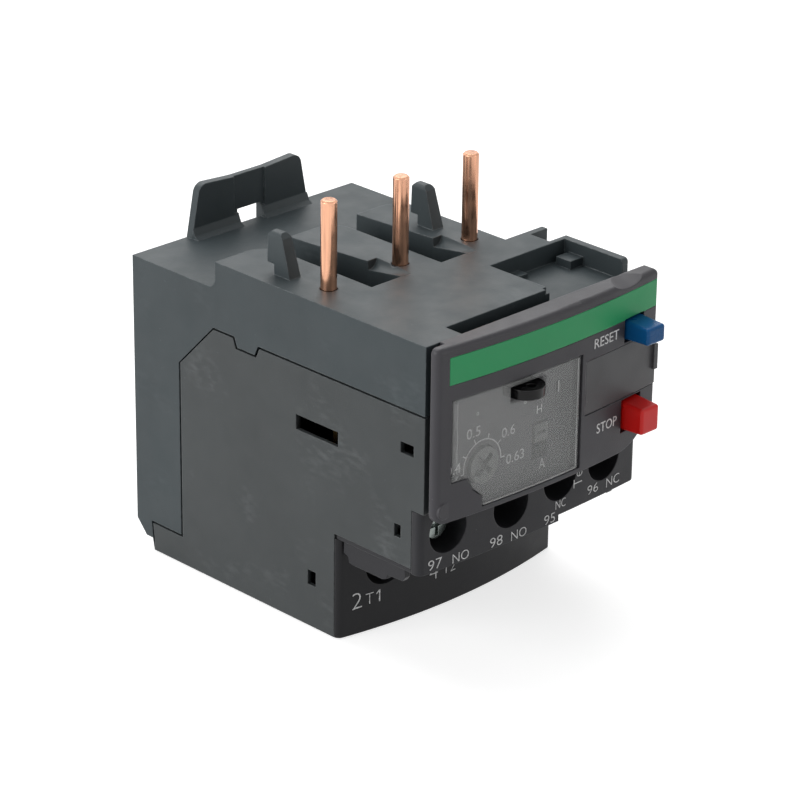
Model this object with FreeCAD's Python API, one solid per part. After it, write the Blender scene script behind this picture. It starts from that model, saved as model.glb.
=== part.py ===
import FreeCAD, Part
import math
import os

# Plug-on thermal overload relay, millimetres.
# X runs left to right across the front, Y from the front face to the rear, Z up.
# Every size below is measured from the front datum (y = 0) and the underside (z = 0);
# the finished pieces are then shifted so that the origin is under the middle of the whole relay.

V = FreeCAD.Vector

# Housing
width = 45.0
half_width = width / 2
rear_y = 60.3
front_y = -1.2
shelf_z = 47.2
deck_z = 51.4
wall = 1.8
tab_thickness = 1.3
hook_width = 2.2
inner_half = half_width - wall
roof_z = 45.6
finger_rear_y = 42.0
groove_front_y = 19.6
# Each finger: left edge at the front and at the rear end, then the right edge
finger_edges = [(-half_width, -half_width, -12.7), (-6.1, -7.8, 1.3), (7.25, 5.9, 14.3)]
finger_root = 0.8
finger_rear_root = 1.6
scoop_y = 27.3
scoop_radius = 1.65
scoop_rise = 0.14
step_y = 12.5
step_z = 25.9
power_back_y = 33.0
power_top_z = 16.9
power_side_y = 16.8
foot_rear_y = 56.4

# Left side plate: slots as front, rear, lower and upper edges
side_slots = [(16.1, 24.85, 30.6, 32.95), (0.9, 3.5, 34.1, 35.8),
              (3.3, 4.6, 20.8, 22.8), (20.65, 22.35, 6.7, 9.05)]
slot_lip = 0.7
side_seam = 0.34

# Poles
pole_pitch = 14.25
pole_x = [-17.5, -17.5 + pole_pitch, -17.5 + 2 * pole_pitch]
pole_names = ["l1", "l2", "l3"]
pin_radius = 1.2
pin_root_radius = 0.85
pin_y = 23.4
pin_top_z = 64.9
terminal_shift = 3.25
terminal_x = [x + terminal_shift for x in pole_x]
terminal_z = 10.4

# Bimetal strips, heaters and copper
strip_y0, strip_y1 = 36.0, 41.0
strip_thick = 0.9
strip_foot_z = 6.0
strip_top_z = 38.6
bar_z0, bar_z1 = 5.0, 6.0
link_z0, link_z1 = 33.6, 34.4

# Front cover: bowed in plan
cover_back_y = -1.3
cover_mid_y = -5.0
cover_end_y = -3.5
cover_bottom_z = 25.0
cover_top_z = 51.5
pocket_floor_y = -2.4
window_x0, window_x1 = -19.9, 5.45
window_z0, window_z1 = 25.7, 43.4
hinge_x, hinge_y = 4.6, -4.35
dip_x, dip_radius = 16.0, 8.0

# Auxiliary terminals 97, 98, 95, 96
aux_names = ["97", "98", "95", "96"]
aux_x = [-17.2, -4.9, 5.3, 15.0]
aux_z = [21.9, 21.9, 22.9, 22.9]
aux_head_y = [1.4, 5.0, 5.0, 5.0]
aux_hole_radius = 3.5
aux_back_y = 9.9
pad_y0, pad_y1 = 10.0, 10.8
bridge_y0, bridge_y1 = 18.1, 18.7
carrier_travel = 1.5

# Controls
reset_x, reset_z = 17.0, 44.1
reset_size = (4.0, 3.1)
reset_front_y = -8.5
stop_x, stop_z = 16.85, 30.7
stop_size = (4.0, 4.6)
stop_front_y = -8.1
dial_x, dial_z = -12.3, 31.05
dial_radius = 2.75
cam_y0, cam_y1 = 3.0, 5.4
cam_small, cam_rise, cam_turn = 2.5, 1.3, 200.0
selector_x, selector_z = -0.5, 32.4
indicator_x, indicator_z = 3.1, 38.3
test_x, test_z = 10.1, 24.4

# Trip mechanism
slider_z = 36.0
slider_thick = 1.0
second_slider_z = 37.4
slider_travel = 2.0
lever_x, lever_y = 14.0, 29.0
rocker_x, rocker_y = 12.0, 35.6
rocker_rear_y = 41.4
adjust_x, adjust_z = -2.0, 38.5

depth_centre = (reset_front_y + rear_y) / 2


def box(x0, x1, y0, y1, z0, z1):
    return Part.makeBox(x1 - x0, y1 - y0, z1 - z0, V(x0, y0, z0))


def rod_y(x, z, radius, y0, y1):
    return Part.makeCylinder(radius, y1 - y0, V(x, y0, z), V(0, 1, 0))


def rod_z(x, y, radius, z0, z1):
    return Part.makeCylinder(radius, z1 - z0, V(x, y, z0), V(0, 0, 1))


def side_profile(points, x0, x1):
    """A (y, z) outline carried across the width."""
    wire = Part.makePolygon([V(x0, y, z) for y, z in points + points[:1]])
    return Part.Face(wire).extrude(V(x1 - x0, 0, 0))


def front_profile(points, y0, y1):
    """An (x, z) outline carried from front to rear."""
    wire = Part.makePolygon([V(x, y0, z) for x, z in points + points[:1]])
    return Part.Face(wire).extrude(V(0, y1 - y0, 0))


def plan_profile(points, z0, z1):
    """An (x, y) outline carried upwards."""
    wire = Part.makePolygon([V(x, y, z0) for x, y in points + points[:1]])
    return Part.Face(wire).extrude(V(0, 0, z1 - z0))


def bow_edge(x0, x1, mid_y, end_y, z):
    """The arc, bowed to the front, that passes end_y at the two sides and mid_y in the middle."""
    sag = end_y - mid_y
    radius = (half_width ** 2 + sag ** 2) / (2 * sag)

    def on_arc(x):
        return V(x, mid_y + radius - math.sqrt(radius ** 2 - x ** 2), z)

    return Part.Arc(on_arc(x0), on_arc((x0 + x1) / 2), on_arc(x1)).toShape()


def bowed_block(x0, x1, mid_y, end_y, back_y, z0, z1, corner=0.0):
    """A block with a bowed front, its two front corners rounded."""
    front = bow_edge(x0, x1, mid_y, end_y, z0)
    left, right = front.Vertexes[0].Point, front.Vertexes[1].Point
    back_right, back_left = V(x1, back_y, z0), V(x0, back_y, z0)
    edges = [front, Part.makeLine(right, back_right)]
    edges += [Part.makeLine(back_right, back_left), Part.makeLine(back_left, left)]
    block = Part.Face(Part.Wire(Part.__sortEdges__(edges))).extrude(V(0, 0, z1 - z0))
    if corner:
        block = block.makeFillet(corner, upright_edges(block, back_y))
    return block


def upright_edges(solid, back_y):
    """The vertical edges that stand in front of back_y."""
    chosen = []
    for edge in solid.Edges:
        low, high = edge.BoundBox.ZMin, edge.BoundBox.ZMax
        stands = edge.BoundBox.XLength < 0.01 and edge.BoundBox.YLength < 0.01
        if stands and high - low > 0.5 and edge.BoundBox.YMin < back_y - 0.3:
            chosen.append(edge)
    return chosen


def coil_y(x, z, mean_radius, wire_radius, y0, y1, turns):
    """A helical compression spring along Y with square wire."""
    length = y1 - y0 - 2 * wire_radius
    helix = Part.makeHelix(length / turns, length, mean_radius)
    side = wire_radius
    corners = [V(mean_radius - side, 0, -side), V(mean_radius + side, 0, -side),
               V(mean_radius + side, 0, side), V(mean_radius - side, 0, side)]
    profile = Part.makePolygon(corners + corners[:1])
    spring = Part.Wire(helix.Edges).makePipeShell([profile], True, True)
    spring.rotate(V(0, 0, 0), V(1, 0, 0), -90)
    spring.translate(V(x, y0 + wire_radius, z))
    return spring


# ---- Housing ----

def side_outline():
    """The relay's side: deck, shelf, notched rear foot, underside and the two steps at the front."""
    return [(front_y, step_z), (front_y, shelf_z), (rear_y, shelf_z), (rear_y, 4.2), (58.2, 1.9),
            (56.8, 1.9), (foot_rear_y, 0), (power_side_y, 0), (power_side_y, 16.75), (1.2, 16.75),
            (1.2, step_z)]


def core_outline():
    """The same side without the room of the two terminal blocks."""
    return [(front_y, step_z), (front_y, shelf_z), (rear_y, shelf_z), (rear_y, 4.2), (58.2, 1.9),
            (56.8, 1.9), (foot_rear_y, 0), (power_back_y, 0), (power_back_y, power_top_z),
            (step_y, power_top_z), (step_y, step_z)]


def cavity_outline():
    thin = 1.2
    return [(0.8, step_z + thin), (0.8, roof_z), (rear_y - wall, roof_z), (rear_y - wall, 5.0),
            (56.0, 2.6), (54.8, wall), (power_back_y + thin, wall),
            (power_back_y + thin, power_top_z + thin), (step_y + thin, power_top_z + thin),
            (step_y + thin, step_z + thin)]


def cover_outline(gap):
    """The left cover's stepped seam; gap draws the outline in along the seam."""
    return [(power_side_y, 0), (foot_rear_y, 0), (56.7 - gap, 1.9), (57.0 - gap, 4.75 - gap),
            (50.2 - gap, 4.75 - gap), (50.2 - gap, 33.1), (42.5, 40.95 - gap),
            (37.9 + gap, 40.95 - gap), (37.3 + gap, 39.4 - gap), (33.6 - gap, 39.4 - gap),
            (32.9 - gap, 40.95 - gap), (front_y, 40.95 - gap), (front_y, step_z), (1.2, step_z),
            (1.2, 16.75), (power_side_y, 16.75)]


def finger(left_front, left_rear, right):
    """One raised finger of the deck: slanted left edge and a rounded rear right corner."""
    outline = [(left_front, groove_front_y - 1), (left_front, scoop_y), (left_rear, finger_rear_y),
               (right, finger_rear_y), (right, groove_front_y - 1)]
    solid = plan_profile(outline, shelf_z - 1, deck_z)
    corner = [edge for edge in upright_edges(solid, rear_y)
              if edge.BoundBox.XMin > right - 0.1 and edge.BoundBox.YMin > finger_rear_y - 0.1]
    return solid.makeFillet(3.6, corner)


def finger_foot(left_rear, right):
    """The hollow rounding where the rear end of a finger meets the shelf."""
    root = finger_rear_root
    y = finger_rear_y
    strip = box(left_rear, right - 3.6, y - 0.1, y + root, shelf_z - 0.1, shelf_z + root)
    strip = strip.cut(Part.makeCylinder(root, 60, V(-30, y + root, shelf_z + root), V(1, 0, 0)))
    root = finger_root
    side = box(right - 0.1, right + root, groove_front_y - 1, y - 3.6, shelf_z - 0.1, shelf_z + root)
    if right < half_width - root:
        side = side.cut(Part.makeCylinder(root, 60, V(right + root, 0, shelf_z + root), V(0, 1, 0)))
    return strip.fuse(side)


def scoop(left_front):
    """The hollowed left shoulder in front of a finger, running out towards the front."""
    start = V(left_front + 0.25, scoop_y, deck_z + 0.3)
    return Part.makeCylinder(scoop_radius, scoop_y - groove_front_y + 0.1, start, V(0, -1, scoop_rise))


def deck():
    """The raised top with its three fingers, the pocket behind the front cover and the open well."""
    top = box(-half_width, half_width, front_y, groove_front_y, shelf_z - 1, deck_z)
    for edges in finger_edges:
        top = top.fuse(finger(*edges)).fuse(finger_foot(*edges[1:]))
    for edges in finger_edges[1:]:
        top = top.cut(scoop(edges[0]))
    top = top.cut(box(-15.5, 5.6, front_y - 1, 2.0, 46.4, deck_z + 1))
    top = top.cut(box(5.5, 21.3, front_y - 1, 13.9, 48.3, deck_z + 1))
    top = top.cut(box(21.2, half_width + 1, front_y - 1, 2.4, 48.3, deck_z + 1))
    top = top.cut(box(18.9, half_width + 1, 14.7, 18.5, 48.3, deck_z + 1))
    top = top.fuse(box(18.6, 21.5, 10.1, 13.0, 48.2, 49.6))
    top = top.fuse(box(9.6, 11.8, 12.2, 14.0, 48.2, 49.0))
    top = top.cut(box(4.7, 5.6, front_y - 1, 2.7, 50.7, deck_z + 1))
    corner = box(21.0, half_width + 1, 2.3, 3.0, deck_z - 0.6, deck_z + 1)
    return top.cut(corner.cut(Part.makeCylinder(0.6, 5, V(20, 3.0, deck_z - 0.6), V(1, 0, 0))))


def latch_hook(x):
    """An upright hook that catches on the contactor: nose to the rear, sloped front, rounded crown."""
    outline = [(32.65, deck_z - 0.5), (32.65, 53.0), (34.1, 53.0), (34.0, 57.2), (33.5, 57.8),
               (31.7, 57.8), (31.0, 57.1), (29.2, deck_z - 0.5)]
    hook = side_profile(outline, x, x + hook_width)
    arch = front_profile([(x, deck_z - 1), (x + hook_width, deck_z - 1), (x + hook_width - 0.3, 57.8),
                          (x + 0.1, 57.8)], 28, 36)
    crown = [edge for edge in arch.Edges if edge.BoundBox.YLength > 1 and edge.BoundBox.ZMin > 57.0]
    return hook.common(arch.makeFillet(0.7, crown))


def rear_tab():
    """The tall tab: tapered sides, rounded shoulders, a dipped top edge, a window and a shallow recess."""
    half_base, half_top, top_z = 11.9, 10.2, 55.5
    front = rear_y - tab_thickness
    outline = [(-half_base, shelf_z - 0.5), (-half_top, top_z), (-3.2, top_z - 0.5), (3.2, top_z - 0.5),
               (half_top, top_z), (half_base, shelf_z - 0.5)]
    tab = front_profile(outline, front, rear_y)
    shoulders = [edge for edge in tab.Edges if edge.BoundBox.YLength > 1 and edge.BoundBox.XLength < 0.01
                 and edge.BoundBox.ZMax > top_z - 0.1 and abs(edge.BoundBox.XMin) > half_top - 0.1]
    tab = tab.makeFillet(1.6, shoulders)
    foot = side_profile([(front, shelf_z + 1.6), (front - 0.5, shelf_z + 0.5), (front - 1.6, shelf_z - 0.2),
                         (front + 0.2, shelf_z - 0.2)], -half_base + 0.2, half_base - 0.2)
    tab = tab.fuse(foot)
    tab = tab.cut(box(-3.3, 3.0, front - 2, front + 0.35, shelf_z + 1.8, top_z + 1))
    return tab.cut(tab_window())


def tab_window():
    """The opening at the tab's foot; behind the tab it also notches the shelf's edge."""
    front = rear_y - tab_thickness
    window = box(-2.4, 2.3, front - 3, rear_y + 1, shelf_z, shelf_z + 2.3)
    return window.fuse(box(-2.4, 2.3, front + 0.3, rear_y + 1, shelf_z - 0.8, shelf_z + 0.1))


def button_well(x, z, size, y_end):
    """Outer block and inner room of the square tunnel that guides one button."""
    half_x, half_z = size[0] / 2 + 0.8, size[1] / 2 + 0.8
    outer = box(x - half_x - 0.9, x + half_x + 0.9, front_y, y_end + 1.2, z - half_z - 0.9, z + half_z + 0.9)
    inner = box(x - half_x, x + half_x, front_y - 1, y_end, z - half_z, z + half_z)
    return outer, inner.fuse(rod_y(x, z, 1.25, front_y, y_end + 3))


def pole_barriers():
    """Walls between the poles; the sliders run on top of them."""
    ribs = []
    for x in (-10.4, 3.85):
        ribs.append(box(x - 0.6, x + 0.6, power_back_y, 55.5, 1.0, slider_z - 0.2))
    for x in pole_x:
        ribs.append(box(x - 3.1, x + 3.1, 34.0, 43.0, 1.0, bar_z0))
    return ribs


def carrier_rails():
    """Two hanging rails, each with a foot under the contact carrier."""
    left = box(4.3, 4.8, 21.8, 26.0, 35.5, roof_z + 1)
    left_foot = box(4.3, 5.7, 21.8, 26.0, 35.5, 36.1)
    right = box(9.2, 9.7, 21.8, 26.0, 35.5, roof_z + 1)
    right_foot = box(8.3, 9.7, 21.8, 26.0, 35.5, 36.1)
    return [left, left_foot, right, right_foot]


def main_housing():
    shell = side_profile(core_outline(), -half_width, half_width)
    shell = shell.fuse(side_profile(side_outline(), inner_half, half_width))
    shell = shell.cut(side_profile(cavity_outline(), -inner_half, inner_half))
    shell = shell.cut(side_profile(cover_outline(0), -half_width - 1, -inner_half))
    additions = pole_barriers() + carrier_rails()
    additions.append(rod_z(lever_x, lever_y, 1.9, 43.8, roof_z + 1))
    additions.append(box(indicator_x - 1.1, indicator_x + 1.9, 0.5, 9.5, 34.6, 35.5))
    reset_outer, reset_room = button_well(reset_x, reset_z, reset_size, 8.0)
    stop_outer, stop_room = button_well(stop_x, stop_z, stop_size, 8.0)
    additions += [reset_outer, stop_outer]
    shell = shell.multiFuse(additions + [deck(), latch_hook(-19.5), latch_hook(9.4), rear_tab()])
    openings = [tab_window(), reset_room, stop_room, rod_y(dial_x, dial_z, 1.65, front_y - 1, 2)]
    openings.append(box(selector_x - 1.2, selector_x + 1.2, front_y - 1, 2,
                        selector_z - 4.4, selector_z + 1.4))
    openings.append(box(indicator_x - 1.3, indicator_x + 1.3, front_y - 1, 2,
                        indicator_z - 3.2, indicator_z + 3.6))
    openings.append(rod_z(lever_x, lever_y, 0.8, 40, roof_z + 0.6))
    openings.append(rod_y(adjust_x, adjust_z, 0.9, 0, 3))
    for x in aux_x:
        openings.append(box(x - 2.1, x + 2.1, pad_y0 - 0.1, pad_y1 + 0.1, step_z - 1, step_z + 2))
    for x in pole_x:
        openings.append(rod_z(x, pin_y, pin_root_radius, roof_z - 1, deck_z + 1))
        openings.append(rod_z(x, pin_y, pin_radius + 0.12, deck_z - 0.5, deck_z + 1))
        openings.append(box(x - 3.1, x + 3.1, power_back_y - 1, power_back_y + 2, bar_z0 - 0.1, bar_z1 + 0.1))
    return shell.cut(Part.makeCompound(openings)).removeSplitter()


def left_side_cover():
    """Side plate with four slots, each thinned to a lip from the inside."""
    plate = side_profile(cover_outline(side_seam), -half_width, -inner_half)
    for y0, y1, z0, z1 in side_slots:
        slot = box(-half_width - 1, -inner_half + 1, y0, y1, z0, z1)
        relief = box(-half_width + slot_lip, -inner_half + 1, y0 - 0.4, y1 + 0.9, z0 - 0.9, z1 + 0.9)
        plate = plate.cut(slot).cut(relief)
    return plate


# ---- Terminal blocks ----

def power_terminal_block():
    front = bowed_block(-half_width, half_width, 13.5, 16.0, 24.0, 0, 15.9, 1.1)
    front = front.common(box(-half_width, half_width, 10, power_side_y - 0.1, 0, 16))
    body = box(-inner_half + 0.1, inner_half - 0.1, power_side_y - 0.2, power_back_y - 0.1,
               0, power_top_z - 0.2)
    block = front.fuse(body)
    for x in terminal_x:
        block = block.cut(rod_y(x, terminal_z, 3.6, 10, 19))
        block = block.cut(box(x - 4.4, x + 4.4, 18.5, 27.2, 3.0, 16.0))
        block = block.cut(box(x - 3.3, x + 3.3, 22.6, 26.8, -1, 4))
        block = block.cut(box(x - 4.4, x + 4.4, 27.1, 31.5, 7.4, 16.0))
    for x in pole_x:
        block = block.cut(box(x - 3.1, x + 7.4, 26.9, 40, bar_z0 - 0.1, bar_z1 + 0.1))
        block = block.cut(box(x - 0.9, x + 7.4, 26.9, 28.1, bar_z0 - 0.1, 15.6))
    return block.removeSplitter()


def skirt(x):
    """A stepped barrier that hangs under the block at one side."""
    outline = [(15.4, 16.1), (15.4, 14.0), (14.5, 13.7), (14.3, 12.8), (13.6, 12.65), (7.5, 12.65),
               (6.6, 13.0), (6.4, 13.7), (3.4, 13.8), (2.9, 14.5), (2.9, 16.1)]
    return side_profile(outline, x, x + 1.0)


def aux_terminal_block():
    front = bowed_block(-half_width, half_width, -1.4, -0.5, 6.0, 16.0, 25.8, 1.0)
    front = front.common(box(-half_width, half_width, -3, 1.1, 15, 26))
    lip = box(-half_width + 0.2, half_width - 0.2, 0.4, power_side_y - 0.3, 16.0, 16.6)
    body = box(-inner_half + 0.1, inner_half - 0.1, 1.0, aux_back_y, 16.4, step_z - 0.2)
    block = front.fuse(body).fuse(lip).fuse(skirt(-21.9)).fuse(skirt(20.9))
    block = block.cut(box(5.2, half_width + 1, -3, 3.0, 15, 17.0))
    block = block.cut(box(-half_width - 1, half_width + 1, -3, -1.1, 24.8, 27))
    corner = box(half_width - 1.0, half_width + 1, -3, 3, 16.5, 18.0)
    block = block.cut(corner.cut(rod_y(half_width - 1.0, 18.0, 1.0, -4, 4)))
    for x, z in zip(aux_x, aux_z):
        block = block.cut(rod_y(x, z, aux_hole_radius, -3, aux_back_y - 1.4))
        block = block.cut(box(x - 2.5, x + 2.5, 4.0, aux_back_y - 1.4, 15, z))
        block = block.cut(rod_y(x, z, 1.6, 2, aux_back_y + 1))
    block = block.cut(rod_y(test_x, test_z, 1.1, -3, aux_back_y + 1))
    return block.removeSplitter()


# ---- Front cover and what it carries ----

def cover_half(end_radius, x0, x1):
    half = bowed_block(-half_width, half_width, cover_mid_y, cover_end_y, cover_back_y,
                       cover_bottom_z, cover_top_z, end_radius)
    return half.common(box(x0, x1, -9, 3, cover_bottom_z, cover_top_z))


def cover_blank():
    """The bowed plate with a rounded top edge and a swept lower right corner."""
    plate = cover_half(1.0, -half_width - 1, 0).fuse(cover_half(0.3, 0, half_width + 1)).removeSplitter()
    top_edges = [edge for edge in plate.Edges if edge.BoundBox.ZMin > cover_top_z - 0.01
                 and edge.BoundBox.YMax < cover_back_y - 0.01]
    plate = plate.makeFillet(0.8, top_edges)
    sweep = rod_y(half_width - 8.5, cover_bottom_z + 8.5, 8.5, -9, 2)
    corner = box(half_width - 8.5, half_width + 1, -9, 2, cover_bottom_z - 1, cover_bottom_z + 4.2)
    small = rod_y(-half_width + 1.6, cover_bottom_z + 1.6, 1.6, -9, 2)
    small_corner = box(-half_width - 1, -half_width + 1.6, -9, 2, cover_bottom_z - 1, cover_bottom_z + 1.6)
    return plate.cut(corner.cut(sweep)).cut(small_corner.cut(small))


def window_outline(inset):
    """The flap's outline: a rectangle with a stepped and swept lower left corner."""
    x0, x1 = window_x0 + inset, hinge_x
    z0, z1 = window_z0 + inset, window_z1 - inset
    return [(x0, 30.8 + inset), (-16.9 + inset, 30.8 + inset), (-15.9 + inset, 28.7 + inset),
            (-14.2 + inset, 27.3 + inset), (-14.2 + inset, z0), (x1, z0), (x1, z1), (x0, z1)]


def front_cover():
    cover = cover_blank()
    pocket = front_profile(window_outline(0), -9, pocket_floor_y)
    cover = cover.cut(pocket)
    cover = cover.cut(box(hinge_x - 1.2, window_x1, -9, pocket_floor_y, window_z0, window_z1))
    cover = cover.cut(rod_z(hinge_x, hinge_y, 0.4, window_z0 - 0.6, window_z1 + 0.7))
    cover = cover.cut(rod_y(dial_x, dial_z, dial_radius + 0.15, -9, 0))
    cover = cover.cut(box(selector_x - 1.6, selector_x + 1.6, -9, 0, selector_z - 4.1, selector_z + 1.7))
    cover = cover.cut(box(indicator_x - 0.5, indicator_x + 0.5, -9, 0, indicator_z - 1.0, indicator_z + 1.0))
    for x, z, size in ((reset_x, reset_z, reset_size), (stop_x, stop_z, stop_size)):
        half_x, half_z = size[0] / 2 + 0.3, size[1] / 2 + 0.3
        cover = cover.cut(box(x - half_x, x + half_x, -9, 0, z - half_z, z + half_z))
    cover = cover.cut(box(6.2, half_width + 1, -9, cover_back_y - 1.6, 33.5, 42.0))
    cover = cover.cut(box(-half_width - 1, -half_width + 2.6, -2.2, 1, 24, 53))
    dip = Part.makeCylinder(dip_radius, 8, V(dip_x, 0.5, cover_top_z + dip_radius + 0.7), V(0, -1, -0.27))
    cover = cover.cut(dip)
    cover = cover.fuse(rod_y(-20.9, 26.9, 1.25, -3.8, -3.2))
    return cover.cut(green_band_solid(0.0)).removeSplitter()


def bow_skin(depth, z0, z1, x0, x1):
    """A layer that follows the cover's bowed face, depth thick."""
    outer = bowed_block(-half_width, half_width, cover_mid_y, cover_end_y, 3, z0, z1)
    inner = bowed_block(-half_width, half_width, cover_mid_y + depth, cover_end_y + depth, 4, z0 - 1, z1 + 1)
    return outer.cut(inner).common(box(x0, x1, -9, 5, z0, z1))


def green_band_solid(gap):
    return bow_skin(0.25, 45.75 + gap, 50.0 - gap, -20.4 + gap, half_width + 1)


def front_cover_reach():
    return cover_half(0.3, -half_width - 1, half_width + 1)


def green_band():
    band = green_band_solid(0.05).common(front_cover_reach())
    return band.cut(box(reset_x - 2.2, reset_x + 2.2, -9, 5, 40, reset_z + 1.8))


def marker_plate():
    plate = bowed_block(-half_width, half_width, cover_mid_y + 0.1, cover_end_y - 0.05, cover_back_y - 1.6,
                        33.6, 41.9).common(box(6.3, half_width, -9, 0, 33, 43))
    tab = box(half_width - 0.8, half_width, cover_end_y - 0.6, cover_end_y + 0.6, 36.0, 39.9)
    return plate.fuse(tab).removeSplitter()


def window_flap():
    """Clear bowed flap on a hinge barrel, with a slot for the sealing lug."""
    depth = 0.7
    skin = bow_skin(depth, window_z0, window_z1, window_x0, hinge_x + 0.2)
    skin = skin.common(front_profile(window_outline(0.2), -9, 2))
    barrel = rod_z(hinge_x, hinge_y, 0.6, window_z0 + 0.25, window_z1 - 0.25)
    pins = rod_z(hinge_x, hinge_y, 0.34, window_z0 - 0.4, window_z1 + 0.4)
    rim = box(window_x0 + 0.2, window_x0 + 0.9, -4.2, -2.7, 31.2, window_z1 - 0.4)
    flap = skin.fuse(barrel).fuse(pins).fuse(rim)
    return flap.cut(box(-9.2, -2.2, -9, 0, 40.0, 42.6)).removeSplitter()


def sealing_lug():
    """A flat rounded lug on the pocket floor, with a hole for the seal wire."""
    body = rod_z(-5.6, pocket_floor_y - 1.9, 2.7, 40.5, 42.0)
    root = box(-8.3, -2.9, pocket_floor_y - 1.9, pocket_floor_y, 40.5, 42.0)
    return body.fuse(root).cut(rod_z(-5.6, pocket_floor_y - 2.9, 0.7, 40, 43)).cut(
        box(-9, -2, pocket_floor_y, 3, 40, 43)).removeSplitter()


# ---- Controls ----

def setting_dial():
    dial = rod_y(dial_x, dial_z, dial_radius, pocket_floor_y - 0.6, cover_back_y - 0.3)
    dial = dial.fuse(rod_y(dial_x, dial_z, 1.6, cover_back_y - 0.4, cam_y1 + 0.6))
    for angle in (45, 135):
        slot = box(dial_x - 1.9, dial_x + 1.9, -4, pocket_floor_y + 0.3, dial_z - 0.45, dial_z + 0.45)
        slot.rotate(V(dial_x, 0, dial_z), V(0, 1, 0), angle)
        dial = dial.cut(slot)
    arrow = [(dial_x - 2.4, dial_z - 1.1), (dial_x - 1.4, dial_z - 0.1), (dial_x - 1.1, dial_z - 1.3)]
    return dial.cut(front_profile(arrow, -4, pocket_floor_y - 0.2)).removeSplitter()


def dial_cam():
    """Spiral cam: its radius grows evenly against the dial's turn, then returns over the rest."""
    points = []
    steps = 36
    for index in range(steps):
        turn = 360.0 * index / steps
        if turn <= cam_turn:
            radius = cam_small + cam_rise * turn / cam_turn
        else:
            radius = cam_small + cam_rise * (360.0 - turn) / (360.0 - cam_turn)
        angle = math.radians(90 + turn)
        points.append((dial_x + radius * math.cos(angle), dial_z + radius * math.sin(angle)))
    cam = front_profile(points, cam_y0, cam_y1)
    return cam.cut(rod_y(dial_x, dial_z, 1.6, 0, 9))


def mode_selector():
    knob = box(selector_x - 1.3, selector_x + 1.3, pocket_floor_y - 0.3, cover_back_y - 0.2,
               selector_z - 1.4, selector_z + 1.4)
    stem = box(selector_x - 0.9, selector_x + 0.9, cover_back_y - 0.4, 1.4,
               selector_z - 1.0, selector_z + 1.0)
    foot = box(selector_x - 1.9, selector_x + 1.9, 1.0, 2.0, selector_z - 1.6, selector_z + 1.4)
    groove = box(selector_x - 0.9, selector_x + 0.9, -4, pocket_floor_y + 0.3,
                 selector_z - 0.3, selector_z + 0.3)
    return knob.fuse(stem).fuse(foot).cut(groove).removeSplitter()


def push_button(x, z, size, front, rod_end, crown):
    """Head tapered both ways with softened edges, a retaining collar and a push rod."""
    half_x, half_z = size[0] / 2, size[1] / 2
    head_back = cover_back_y - 0.8
    tip_x, tip_z = half_x - 0.15, half_z - crown
    head = side_profile([(head_back, z - half_z), (front, z - tip_z), (front, z + tip_z),
                         (head_back, z + half_z)], x - half_x, x + half_x)
    head = head.common(plan_profile([(x - half_x, head_back), (x - tip_x, front), (x + tip_x, front),
                                     (x + half_x, head_back)], z - half_z, z + half_z))
    front_edges = [edge for edge in head.Edges if edge.BoundBox.YMax < front + 0.01]
    long_edges = [edge for edge in head.Edges if edge.BoundBox.YLength > 3]
    head = head.makeFillet(0.45, front_edges + long_edges)
    neck = box(x - half_x, x + half_x, head_back, -0.8, z - half_z, z + half_z)
    neck = neck.makeFillet(0.4, [edge for edge in neck.Edges if edge.BoundBox.YLength > 1])
    collar = box(x - half_x - 0.5, x + half_x + 0.5, -0.9, 0.6, z - half_z - 0.5, z + half_z + 0.5)
    rod = rod_y(x, z, 1.15, 0.5, rod_end)
    return head.fuse(neck).fuse(collar).fuse(rod).removeSplitter()


def test_button():
    plunger = rod_y(test_x, test_z, 1.0, -0.9, aux_back_y + 1.0)
    plunger = plunger.fuse(rod_y(test_x, test_z, 1.3, aux_back_y + 0.1, aux_back_y + 0.7))
    slot = box(test_x - 1.2, test_x + 1.2, -2, -0.4, test_z - 0.2, test_z + 0.2)
    return plunger.cut(slot)


def trip_indicator():
    flag = box(indicator_x - 0.9, indicator_x + 0.9, -1.0, -0.4, indicator_z - 1.6, indicator_z + 1.4)
    stem = box(indicator_x - 0.9, indicator_x + 0.9, -0.6, 9.0, indicator_z - 1.6, indicator_z - 0.6)
    leg = box(indicator_x - 0.9, indicator_x + 0.9, 8.0, 9.0, indicator_z - 2.6, indicator_z - 0.6)
    return flag.fuse(stem).fuse(leg).removeSplitter()


# ---- Power path ----

def contact_pin(x):
    """Round contact pin: full size above the deck, slightly thinner where the deck grips it."""
    pin = rod_z(x, pin_y, pin_root_radius, link_z1, deck_z + 0.1)
    pin = pin.fuse(rod_z(x, pin_y, pin_radius, deck_z, pin_top_z))
    rim = [edge for edge in pin.Edges if edge.BoundBox.ZMin > pin_top_z - 0.01]
    return pin.makeChamfer(0.25, rim)


def input_link(x):
    return box(x - 2.0, x + 2.0, 22.0, strip_y0 - 1.2, link_z0, link_z1)


def heater_winding(x):
    """A flat ribbon wound round the bimetal strip, its turns joined by a riser at the front."""
    turns, z0, pitch = 8, 9.0, 3.0
    half_outer, half_inner = 1.9, 1.1
    solid = box(x - 0.8, x + 0.8, strip_y0 - 1.4, strip_y0 - 0.7, bar_z1, link_z0)
    for index in range(turns):
        z = z0 + pitch * index
        outer = box(x - half_outer, x + half_outer, strip_y0 - 1.4, strip_y1 + 1.4, z, z + 1.4)
        inner = box(x - half_inner, x + half_inner, strip_y0 - 0.6, strip_y1 + 0.6, z - 1, z + 3)
        solid = solid.fuse(outer.cut(inner))
    return solid.removeSplitter()


def bimetal_strip(x):
    return box(x - strip_thick / 2, x + strip_thick / 2, strip_y0, strip_y1, strip_foot_z, strip_top_z)


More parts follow.
